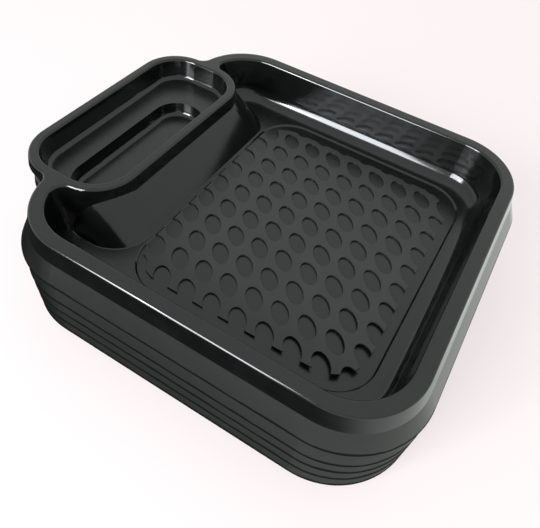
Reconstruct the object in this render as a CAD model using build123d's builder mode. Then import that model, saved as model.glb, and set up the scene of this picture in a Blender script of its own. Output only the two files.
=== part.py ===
"""Stack of five nested display trays with perforated mats.

Each tray is one moulded shell: a square basin with a narrow flared skirt, a long dish on its
-X side, with a sloping apron down to the basin floor, whose rim joins the basin's rim. A thin mat with a grid of oval holes
lies in a shallow recess of the basin floor.

Frame: +Z up, origin on the table under the middle of the whole outline, +X from the dish towards
the far side of the basin. Millimetres.
"""

import os
from math import atan, cos, degrees, hypot, radians, sqrt, tan

from build123d import *

# ---------------------------------------------------------------- driving dimensions

NEST_PITCH = 10.8  # height that each fully nested tray adds
TOP_PITCH = 16.2  # the top tray sits a little proud of the nest
WALL = 1.0  # thickness of the moulded sheet
DRAFT = 7.5  # draft of the steep walls, degrees

# Main basin, as (low, high) spans on the rim plane about the basin's own centre
RIM_X, RIM_Y, RIM_CORNER = (-127.5, 127.5), (-124.5, 124.5), 44.0
RIM_WIDTH = 9.0
RIM_ROUND = 1.9
FLOOR_DEPTH = 33.0
FLOOR_FILLET = 12.0

# Skirt outside the main rim: a steep band above a flared band
BAND_HEIGHT, BAND_FLARE = 12.0, 3.4
SKIRT_HEIGHT, SKIRT_FLARE = 24.5, 9.8

# Dish on the -X side, and the body that widens below its rim
DISH_X, DISH_Y, DISH_CORNER = (-162.0, -84.0), (-83.5, 83.5), 30.0
DISH_RIM_WIDTH = 6.5
DISH_DEPTH, DISH_FILLET = 15.5, 4.0
DISH_BODY_DRAFT = 12.0
LIP_HEIGHT = 7.0
JUNCTION_RADIUS = 8.0  # plan radius where the dish's body meets the basin's corners

# Deeper well in the dish, along its basin side
WELL_X, WELL_Y, WELL_CORNER = (-133.0, -93.2), (-74.3, 47.0), 19.0
WELL_DEPTH = 25.0

# Apron that slopes from the dish's body down to the edge of the mat's recess
APRON_TOP_X, APRON_TOP_Y, APRON_TOP_CORNER = (-140.0, -84.2), (-80.0, 80.0), 24.0
APRON_BASE_X, APRON_BASE_Y, APRON_BASE_CORNER = (-140.0, -62.4), (-94.0, 94.0), 26.0
APRON_TOP_DEPTH, APRON_DRAFT = 6.0, 35.0
BASE_FILLET = 0.9

# Recess in the basin floor, and the mat that lies in it
RECESS_X, RECESS_Y, RECESS_CORNER = (-64.1, 102.4), (-100.2, 100.2), 28.0
RECESS_DEPTH = 1.2
MAT_X, MAT_Y, MAT_CORNER = (-62.4, 95.0), (-92.0, 90.0), 24.0
MAT_THICKNESS = 1.2
MAT_GAP = 0.1  # air under the mat
HOLE_LENGTH, HOLE_WIDTH, HOLE_ANGLE = 18.6, 11.0, 130.0
HOLE_PITCH_X, HOLE_PITCH_Y = 18.6, 18.4
HOLE_COLUMNS, HOLE_ROWS = 9, 11
HOLE_FIRST_X, HOLE_FIRST_Y = -56.7, -87.9

# ---------------------------------------------------------------- derived values

SHELL_DEPTH = FLOOR_DEPTH + RECESS_DEPTH + WALL
WEB_ROOTS = ((-124.0, -88.0), (-124.0, -79.5))  # points inside the bodies that each web joins
WEB_BITE = 0.2  # how far a web reaches into them
SKIRT_DRAFT = 22.0
CUT_DEPTH = SHELL_DEPTH + 2 * WALL  # how far cutting bodies reach down
BODY_SLOPE = tan(radians(DISH_BODY_DRAFT))
PAN_SLOPE = tan(radians(DRAFT))
BAND_SLOPE = BAND_FLARE / BAND_HEIGHT
FLARE_SLOPE = (SKIRT_FLARE - BAND_FLARE) / (SKIRT_HEIGHT - BAND_HEIGHT)
CENTRE_X = -(DISH_X[0] - LIP_HEIGHT * BODY_SLOPE + RIM_X[1] + SKIRT_FLARE) / 2
RIM_HEIGHTS = [SHELL_DEPTH + step * NEST_PITCH for step in range(4)]
RIM_HEIGHTS.append(RIM_HEIGHTS[-1] + TOP_PITCH)


def grow(span, amount):
    """A (low, high) span made longer at both ends."""
    return (span[0] - amount, span[1] + amount)


def station(depth, x_span, y_span, corner, amount=0.0):
    """A rounded rectangle at a depth below the rim plane, grown all round."""
    with BuildSketch(Plane.XY.offset(-depth)) as sketch:
        with Locations(((x_span[0] + x_span[1]) / 2, (y_span[0] + y_span[1]) / 2)):
            RectangleRounded(
                x_span[1] - x_span[0] + 2 * amount, y_span[1] - y_span[0] + 2 * amount, corner + amount
            )
    return sketch.sketch


def side_growth(wall, draft):
    """Horizontal distance that moves a drafted wall by a thickness square to itself."""
    return wall / cos(radians(draft))


def tapered(x_span, y_span, corner, top, bottom, grow_top, slope):
    """A rounded block between two depths whose walls spread by slope on the way down."""
    with BuildPart() as body:
        add(station(top, x_span, y_span, corner, grow_top))
        extrude(amount=top - bottom, taper=-degrees(atan(slope)))
    return body.part


def pan(x_span, y_span, corner, depth, floor_fillet, wall, top=0.0):
    """A hollow with drafted walls and a filleted floor, grown by a wall's thickness."""
    with BuildPart() as body:
        add(tapered(x_span, y_span, corner, top, depth + wall, side_growth(wall, DRAFT), -PAN_SLOPE))
        fillet(body.edges().group_by(Axis.Z)[0], floor_fillet + wall)
    return body.part


def web(arc_x, inner, top, bottom, wall):
    """Rounded filling between the dish's body and a corner of the basin, at both ends of the dish.

    It fills the corner inside the basin when inner is True, and the one outside it otherwise.
    """
    arc_y = DISH_Y[0] + DISH_CORNER
    basin_x, basin_y = RIM_X[0] + RIM_CORNER, RIM_Y[0] + RIM_CORNER
    apart = hypot(basin_x - arc_x, basin_y - arc_y)
    along_x, along_y = (basin_x - arc_x) / apart, (basin_y - arc_y) / apart
    radius = JUNCTION_RADIUS + wall
    with BuildPart() as body:
        for depth in (top, bottom):
            dish_arc = DISH_CORNER + BODY_SLOPE * depth - side_growth(wall, DISH_BODY_DRAFT)
            if inner:
                basin_arc = RIM_CORNER - RIM_WIDTH - PAN_SLOPE * depth + side_growth(wall, DRAFT)
                reach = basin_arc - radius
                bite = WEB_BITE
            else:
                basin_arc = RIM_CORNER + BAND_SLOPE * depth - side_growth(wall, SKIRT_DRAFT)
                reach = basin_arc + radius
                bite = -WEB_BITE
            # centre of the circle that touches both arcs
            along = ((dish_arc + radius) ** 2 - reach**2 + apart**2) / (2 * apart)
            across = sqrt((dish_arc + radius) ** 2 - along**2)
            centre_x = arc_x + along * along_x + across * along_y
            centre_y = arc_y + along * along_y - across * along_x
            on_dish = (
                arc_x + (centre_x - arc_x) * (dish_arc - WEB_BITE) / (dish_arc + radius),
                arc_y + (centre_y - arc_y) * (dish_arc - WEB_BITE) / (dish_arc + radius),
            )
            on_basin = (
                basin_x + (centre_x - basin_x) * (basin_arc + bite) / reach,
                basin_y + (centre_y - basin_y) * (basin_arc + bite) / reach,
            )
            chord_x = (on_dish[0] + on_basin[0]) / 2 - centre_x
            chord_y = (on_dish[1] + on_basin[1]) / 2 - centre_y
            chord = hypot(chord_x, chord_y)
            nearest = (centre_x + chord_x * radius / chord, centre_y + chord_y * radius / chord)
            with BuildSketch(Plane.XY.offset(-depth)):
                with BuildLine():
                    ThreePointArc(on_dish, nearest, on_basin)
                    Polyline(on_basin, *WEB_ROOTS, on_dish)
                make_face()
        loft(ruled=True)
        mirror(about=Plane.XZ)
    return body.part


def outer_body(wall):
    """Everything inside the tray's outer face, shrunk by a wall's thickness."""
    side = side_growth(wall, SKIRT_DRAFT)
    dish_bottom = LIP_HEIGHT if wall == 0 else CUT_DEPTH
    with BuildPart() as body:
        add(tapered(RIM_X, RIM_Y, RIM_CORNER, wall, BAND_HEIGHT, BAND_SLOPE * wall - side, BAND_SLOPE))
        add(tapered(RIM_X, RIM_Y, RIM_CORNER, BAND_HEIGHT, SKIRT_HEIGHT + wall, BAND_FLARE - side, FLARE_SLOPE))
        add(dish_body(wall, dish_bottom))
        add(web(DISH_X[0] + DISH_CORNER, False, wall, dish_bottom, wall))
        fillet(body.edges().group_by(Axis.Z)[-1], RIM_ROUND - wall)
    return body.part


def dish_body(wall, bottom):
    """The body that widens below the dish's rim, shrunk by a wall's thickness."""
    side = side_growth(wall, DISH_BODY_DRAFT)
    return tapered(DISH_X, DISH_Y, DISH_CORNER, wall, bottom, BODY_SLOPE * wall - side, BODY_SLOPE)


def apron_body(wall):
    """The sloping apron around the dish's body, shrunk by a wall's thickness."""
    side = side_growth(wall, APRON_DRAFT)
    with BuildPart() as body:
        add(station(APRON_TOP_DEPTH, APRON_TOP_X, APRON_TOP_Y, APRON_TOP_CORNER, -side))
        add(station(CUT_DEPTH, APRON_BASE_X, APRON_BASE_Y, APRON_BASE_CORNER, -side))
        loft(ruled=True)
    return body.part


def basin_air(wall):
    """The air inside the basin, around the dish's body and its apron, grown by a wall's thickness."""
    with BuildPart() as air:
        add(
            pan(
                grow(RIM_X, -RIM_WIDTH),
                grow(RIM_Y, -RIM_WIDTH),
                RIM_CORNER - RIM_WIDTH,
                FLOOR_DEPTH,
                FLOOR_FILLET,
                wall,
            )
        )
        add(dish_body(wall, CUT_DEPTH), mode=Mode.SUBTRACT)
        add(apron_body(wall), mode=Mode.SUBTRACT)
        add(web(DISH_X[1] - DISH_CORNER, True, 0.0, CUT_DEPTH, wall), mode=Mode.SUBTRACT)
        foot = air.edges().group_by(Axis.Z)[0].filter_by(is_apron_foot)
        fillet(foot, BASE_FILLET + wall)
    return air.part


def is_apron_foot(edge):
    """Whether a floor edge lies along the apron."""
    return edge.center().X < -60 and abs(edge.center().Y) < 93


def dish_air(wall):
    """The air inside the dish and its deeper well, grown by a wall's thickness."""
    opening_x = grow(DISH_X, -DISH_RIM_WIDTH)
    opening_y = grow(DISH_Y, -DISH_RIM_WIDTH)
    well_top = DISH_DEPTH - DISH_FILLET
    with BuildPart() as air:
        add(pan(opening_x, opening_y, DISH_CORNER - DISH_RIM_WIDTH, DISH_DEPTH, DISH_FILLET, wall))
        add(pan(WELL_X, WELL_Y, WELL_CORNER, WELL_DEPTH, DISH_FILLET, wall, top=well_top))
    return air.part


def recess_air(wall):
    """The shallow recess under the mat, with sloping edges, grown by a wall's thickness."""
    depth = FLOOR_DEPTH + wall
    return tapered(RECESS_X, RECESS_Y, RECESS_CORNER, depth, depth + RECESS_DEPTH, wall, -1.0)


def tray_shell():
    """One moulded tray, its rim's top face on z = 0."""
    with BuildPart() as shell:
        add(outer_body(0.0))
        add(outer_body(WALL), mode=Mode.SUBTRACT)
        add(basin_air(WALL))
        add(recess_air(WALL))
        add(dish_air(WALL))
        add(basin_air(0.0), mode=Mode.SUBTRACT)
        add(recess_air(0.0), mode=Mode.SUBTRACT)
        add(dish_air(0.0), mode=Mode.SUBTRACT)
        for opening in range(2):
            land = shell.faces().group_by(Axis.Z)[-1].sort_by(SortBy.AREA)[-1]
            mouths = sorted(land.inner_wires(), key=lambda wire: wire.length)
            fillet(mouths[opening].edges(), RIM_ROUND)
    return shell.part


def mat_sheet():
    """The perforated mat, its underside on z = 0, in the basin's plan position."""
    with BuildPart() as sheet:
        with BuildSketch() as outline:
            with Locations(((MAT_X[0] + MAT_X[1]) / 2, (MAT_Y[0] + MAT_Y[1]) / 2)):
                RectangleRounded(MAT_X[1] - MAT_X[0], MAT_Y[1] - MAT_Y[0], MAT_CORNER)
            for column in range(HOLE_COLUMNS):
                for row in range(HOLE_ROWS):
                    spot = (HOLE_FIRST_X + column * HOLE_PITCH_X, HOLE_FIRST_Y + row * HOLE_PITCH_Y)
                    with Locations(Location(spot, HOLE_ANGLE)):
                        Ellipse(HOLE_LENGTH / 2, HOLE_WIDTH / 2, mode=Mode.SUBTRACT)
        extrude(amount=MAT_THICKNESS)
    return sheet.part


# ---------------------------------------------------------------- the nested stack

shell = tray_shell()
sheet = mat_sheet()
os.makedirs("parts", exist_ok=True)

for index, rim_height in enumerate(RIM_HEIGHTS, start=1):
    with BuildPart() as tray:
        with Locations((CENTRE_X, 0, rim_height)):
            add(shell)
    tray.part.label = f"tray_{index}"
    export_step(tray.part, f"parts/tray_{index}.step")

    mat_height = rim_height - FLOOR_DEPTH - RECESS_DEPTH + MAT_GAP
    with BuildPart() as mat:
        with Locations((CENTRE_X, 0, mat_height)):
            add(sheet)
    mat.part.label = f"mat_{index}"
    export_step(mat.part, f"parts/mat_{index}.step")
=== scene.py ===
"""Five nested glossy display trays with perforated mats, lit in a plain pale studio."""

import bpy
from mathutils import Matrix, Vector


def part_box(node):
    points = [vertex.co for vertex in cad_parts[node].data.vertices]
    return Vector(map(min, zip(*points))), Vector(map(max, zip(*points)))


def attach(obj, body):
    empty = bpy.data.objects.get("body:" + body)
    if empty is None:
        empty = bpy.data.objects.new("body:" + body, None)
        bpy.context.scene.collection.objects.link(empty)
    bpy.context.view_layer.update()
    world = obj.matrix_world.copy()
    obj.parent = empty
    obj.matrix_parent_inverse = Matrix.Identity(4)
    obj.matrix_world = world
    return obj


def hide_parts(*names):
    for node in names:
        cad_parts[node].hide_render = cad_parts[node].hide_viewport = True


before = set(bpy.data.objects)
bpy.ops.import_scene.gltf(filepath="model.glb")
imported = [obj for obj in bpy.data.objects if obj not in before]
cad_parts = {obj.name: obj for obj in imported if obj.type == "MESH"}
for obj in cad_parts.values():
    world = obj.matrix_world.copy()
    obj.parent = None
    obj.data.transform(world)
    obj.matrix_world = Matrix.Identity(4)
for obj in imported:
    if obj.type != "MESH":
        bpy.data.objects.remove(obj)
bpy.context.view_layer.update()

TRAYS = [f"tray_{index}" for index in range(1, 6)]
MATS = [f"mat_{index}" for index in range(1, 6)]

# Metres, in the frame's own axes
BASIN_CENTRE_X = 0.0131
SKIRT_HEIGHT = 0.0245  # from a tray's rim down to its skirt's edge
GAP_SHADE_RISE = 0.0003  # middle of the painted gap shade line, above the skirt's edge
FLOOR_DROP = 0.0002  # keeps the studio floor clear of the lowest tray


# ---------------------------------------------------------------- node helpers


def new_material(name):
    """A node material holding one Principled shader, with its tree and shader."""
    material = bpy.data.materials.new(name)
    material.use_nodes = True
    tree = material.node_tree
    tree.nodes.clear()
    output = tree.nodes.new("ShaderNodeOutputMaterial")
    shader = tree.nodes.new("ShaderNodeBsdfPrincipled")
    tree.links.new(shader.outputs["BSDF"], output.inputs["Surface"])
    return material, tree, shader


def noise(tree, scale, detail=3.0, stretch=(1.0, 1.0, 1.0), rough=0.55):
    """A noise factor in object space, in features per metre."""
    coordinates = tree.nodes.new("ShaderNodeTexCoord")
    mapping = tree.nodes.new("ShaderNodeMapping")
    mapping.inputs["Scale"].default_value = stretch
    texture = tree.nodes.new("ShaderNodeTexNoise")
    texture.inputs["Scale"].default_value = scale
    texture.inputs["Detail"].default_value = detail
    texture.inputs["Roughness"].default_value = rough
    tree.links.new(coordinates.outputs["Object"], mapping.inputs["Vector"])
    tree.links.new(mapping.outputs["Vector"], texture.inputs["Vector"])
    return texture.outputs["Fac"]


def remap(tree, value, low, high, start, end):
    """value moved from low..high to start..end, clamped."""
    node = tree.nodes.new("ShaderNodeMapRange")
    node.inputs["From Min"].default_value = low
    node.inputs["From Max"].default_value = high
    node.inputs["To Min"].default_value = start
    node.inputs["To Max"].default_value = end
    tree.links.new(value, node.inputs["Value"])
    return node.outputs["Result"]


def math(tree, operation, first, second):
    """One arithmetic node. first and second are sockets or numbers."""
    node = tree.nodes.new("ShaderNodeMath")
    node.operation = operation
    for socket, value in zip(node.inputs, (first, second)):
        if isinstance(value, (int, float)):
            socket.default_value = value
        else:
            tree.links.new(value, socket)
    return node.outputs["Value"]


def ramp(tree, value, stops):
    """A colour ramp over value, from (position, colour) stops."""
    node = tree.nodes.new("ShaderNodeValToRGB")
    elements = node.color_ramp.elements
    while len(elements) < len(stops):
        elements.new(0.5)
    for element, (position, colour) in zip(elements, stops):
        element.position = position
        element.color = (*colour, 1.0)
    tree.links.new(value, node.inputs["Fac"])
    return node.outputs["Color"]


def bump(tree, shader, height, strength, distance):
    """Puts height into the shader's normal."""
    node = tree.nodes.new("ShaderNodeBump")
    node.inputs["Strength"].default_value = strength
    node.inputs["Distance"].default_value = distance
    tree.links.new(height, node.inputs["Height"])
    tree.links.new(node.outputs["Normal"], shader.inputs["Normal"])


def parts(tree, vector):
    """The X, Y and Z of a vector socket."""
    node = tree.nodes.new("ShaderNodeSeparateXYZ")
    tree.links.new(vector, node.inputs["Vector"])
    return node.outputs


def gap_shade_line(tree, normal, foot):
    """Painted shade: 0.45 on the outside of the skirt near the height foot, and 0 elsewhere, standing for
    the shadow in the gap where this skirt's edge meets the tray below. Its width wanders.
    """
    position = parts(tree, tree.nodes.new("ShaderNodeTexCoord").outputs["Object"])
    middle_height = foot + GAP_SHADE_RISE
    distance = math(tree, "ABSOLUTE", math(tree, "SUBTRACT", position["Z"], middle_height), 0.0)
    width = remap(tree, noise(tree, 45.0), 0.35, 0.65, 0.0006, 0.0013)
    line = remap(tree, math(tree, "DIVIDE", distance, width), 0.6, 1.2, 0.45, 0.0)
    from_centre = math(tree, "SUBTRACT", position["X"], BASIN_CENTRE_X)
    along_x = math(tree, "MULTIPLY", from_centre, normal["X"])
    along_y = math(tree, "MULTIPLY", position["Y"], normal["Y"])
    outside = remap(tree, math(tree, "ADD", along_x, along_y), 0.085, 0.1, 0.0, 1.0)
    return math(tree, "MULTIPLY", line, outside)


def tray_material(name, foot):
    """Glossy black moulded plastic: level faces are a little duller, with faint flow marks and dust.

    The skirt's edge, at the height foot, has a dull dark line of painted shade for the gap to the tray
    below, outside only.
    """
    material, tree, shader = new_material(name)
    normal = parts(tree, tree.nodes.new("ShaderNodeNewGeometry").outputs["Normal"])
    level = remap(tree, normal["Z"], 0.93, 0.999, 0.0, 1.0)
    mottle = noise(tree, 90.0)
    fine = noise(tree, 1400.0, detail=2.0)
    streaks = noise(tree, 26.0, stretch=(1.0, 1.0, 9.0))
    base_roughness = remap(tree, mottle, 0.3, 0.7, 0.10, 0.14)
    dull = remap(tree, fine, 0.3, 0.7, 0.13, 0.18)
    roughness = math(tree, "ADD", base_roughness, math(tree, "MULTIPLY", level, dull))
    tree.links.new(roughness, shader.inputs["Roughness"])
    colour = ramp(
        tree,
        math(tree, "ADD", math(tree, "MULTIPLY", mottle, 0.5), math(tree, "MULTIPLY", streaks, 0.5)),
        [
            (0.3, (0.0018, 0.002, 0.0019)),
            (0.55, (0.0028, 0.0032, 0.003)),
            (0.8, (0.0045, 0.0052, 0.0048)),
        ],
    )
    tree.links.new(colour, shader.inputs["Base Color"])
    shader.inputs["IOR"].default_value = 1.52
    # Painted shade: gloss is taken off in a thin line at the skirt's edge, for the shade in the gap where
    # this skirt's edge meets the tray below.
    gloss_minus_gap_shade = math(tree, "SUBTRACT", 0.5, gap_shade_line(tree, normal, foot))
    tree.links.new(gloss_minus_gap_shade, shader.inputs["Specular IOR Level"])
    relief = math(tree, "ADD", fine, math(tree, "MULTIPLY", streaks, 2.0))
    bump(tree, shader, relief, 0.12, 0.00004)
    return material


def mat_material(name):
    """Dull dark sheet with a fine tooth, slightly uneven in tone."""
    material, tree, shader = new_material(name)
    cloud = noise(tree, 35.0)
    grain = noise(tree, 1900.0, detail=4.0)
    colour = ramp(
        tree,
        math(tree, "ADD", math(tree, "MULTIPLY", cloud, 0.6), math(tree, "MULTIPLY", grain, 0.4)),
        [
            (0.3, (0.010, 0.0112, 0.0103)),
            (0.55, (0.014, 0.0156, 0.0145)),
            (0.8, (0.019, 0.0212, 0.0196)),
        ],
    )
    tree.links.new(colour, shader.inputs["Base Color"])
    tree.links.new(remap(tree, cloud, 0.3, 0.7, 0.40, 0.50), shader.inputs["Roughness"])
    shader.inputs["IOR"].default_value = 1.5
    bump(tree, shader, grain, 0.25, 0.0001)
    return material


def studio_material():
    """Very pale, faintly warm backdrop that glows a little, so its shadow stays soft."""
    material, tree, shader = new_material("studio_floor")
    cloud = noise(tree, 3.0)
    colour = ramp(tree, cloud, [(0.3, (0.20, 0.184, 0.185)), (0.7, (0.21, 0.193, 0.194))])
    tree.links.new(colour, shader.inputs["Base Color"])
    shader.inputs["Emission Color"].default_value = (1.0, 0.92, 0.925, 1.0)
    shader.inputs["Emission Strength"].default_value = 0.68
    shader.inputs["Roughness"].default_value = 0.9
    shader.inputs["Specular IOR Level"].default_value = 0.1
    return material


# ---------------------------------------------------------------- the object

dull_sheet = mat_material("dark_satin_sheet")
coats = {node: dull_sheet for node in MATS}
for node in TRAYS:
    rim_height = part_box(node)[1].z
    coats[node] = tray_material(f"black_gloss_plastic_{node[-1]}", rim_height - SKIRT_HEIGHT)
for node, material in coats.items():
    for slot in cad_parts[node].material_slots:
        slot.material = material


def curled_mat(node, lift=0.0042, reach=0.075):
    """A copy of a mat whose +X, -Y corner curls up off the recess, bending along the diagonal."""
    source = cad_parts[node]
    mesh = source.data.copy()
    low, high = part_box(node)
    corner = Vector((high.x, low.y, 0.0))
    for vertex in mesh.vertices:
        along = ((corner.x - vertex.co.x) + (vertex.co.y - corner.y)) / 2**0.5
        bend = max(0.0, 1.0 - along / reach)
        vertex.co.z += lift * bend**2
    piece = bpy.data.objects.new(f"{node}_curled", mesh)
    bpy.context.collection.objects.link(piece)
    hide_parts(node)
    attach(piece, node)
    return piece


curled_mat("mat_5")

# ---------------------------------------------------------------- the studio

floor_mesh = bpy.data.meshes.new("studio_floor")
floor_mesh.from_pydata([(-4, -4, 0), (4, -4, 0), (4, 4, 0), (-4, 4, 0)], [], [(0, 1, 2, 3)])
floor = bpy.data.objects.new("studio_floor", floor_mesh)
floor_mesh.materials.append(studio_material())
floor.location.z = -FLOOR_DROP
floor.visible_glossy = False
bpy.context.collection.objects.link(floor)


def area_light(name, place, target, size, power, colour=(1.0, 1.0, 1.0)):
    """A soft rectangular lamp at place, facing target."""
    lamp = bpy.data.lights.new(name, "AREA")
    lamp.shape = "RECTANGLE"
    lamp.size, lamp.size_y = size
    lamp.energy = power
    lamp.color = colour
    thing = bpy.data.objects.new(name, lamp)
    thing.location = place
    thing.rotation_euler = (Vector(target) - Vector(place)).to_track_quat("-Z", "Y").to_euler()
    bpy.context.collection.objects.link(thing)
    return thing


middle = (0.0, 0.0, 0.05)
area_light("window", (-0.5, -1.4, 0.72), middle, (0.8, 1.0), 48.0, (0.93, 0.97, 1.0))
area_light("glint", (-0.62, -1.2, 0.85), middle, (0.1, 0.22), 5.0)
area_light("key", (0.3, 0.6, 1.8), middle, (1.0, 1.0), 6.0).visible_glossy = False


def studio_sky():
    """A pale room: even and bright above, fading to dark low down, a little brighter on the +X, +Y side."""
    world = bpy.data.worlds.new("studio")
    world.use_nodes = True
    tree = world.node_tree
    background = tree.nodes["Background"]
    direction = parts(tree, tree.nodes.new("ShaderNodeTexCoord").outputs["Generated"])
    toward_x = math(tree, "MULTIPLY", direction["X"], 0.30)
    toward_y = math(tree, "MULTIPLY", direction["Y"], 0.22)
    level = math(tree, "ADD", direction["Z"], math(tree, "ADD", toward_x, toward_y))
    colour = ramp(
        tree,
        remap(tree, level, -1.0, 1.0, 0.0, 1.0),
        [
            (0.12, (0.02, 0.022, 0.021)),
            (0.19, (0.15, 0.165, 0.155)),
            (0.27, (0.80, 0.85, 0.81)),
            (0.45, (0.82, 0.86, 0.83)),
            (0.6, (0.62, 0.65, 0.63)),
            (1.0, (0.78, 0.80, 0.79)),
        ],
    )
    tree.links.new(colour, background.inputs["Color"])
    background.inputs["Strength"].default_value = 1.25
    return world


bpy.context.scene.world = studio_sky()
bpy.context.scene.view_settings.view_transform = "Standard"

# ---------------------------------------------------------------- the camera

camera_data = bpy.data.cameras.new("camera")
camera_data.sensor_width = 36.0
camera_data.lens = 34.8
camera_data.clip_start = 0.01
camera = bpy.data.objects.new("camera", camera_data)
# Its axes in the frame: right, and back from the object towards the camera
right = Vector((0.855, 0.5105, 0.0924))
back = Vector((0.2587, -0.5731, 0.7776)).normalized()
right = (right - back * right.dot(back)).normalized()
up = back.cross(right)
turn = Matrix((right, up, back)).transposed().to_4x4()
camera_height = 0.23  # above the top tray's rim
basin_centre = Vector((BASIN_CENTRE_X, 0.0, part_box("tray_5")[1].z))
place = basin_centre + Vector((0.432, -1.018, 1.0)) * camera_height
camera.matrix_world = Matrix.Translation(place) @ turn
bpy.context.collection.objects.link(camera)
bpy.context.scene.camera = camera
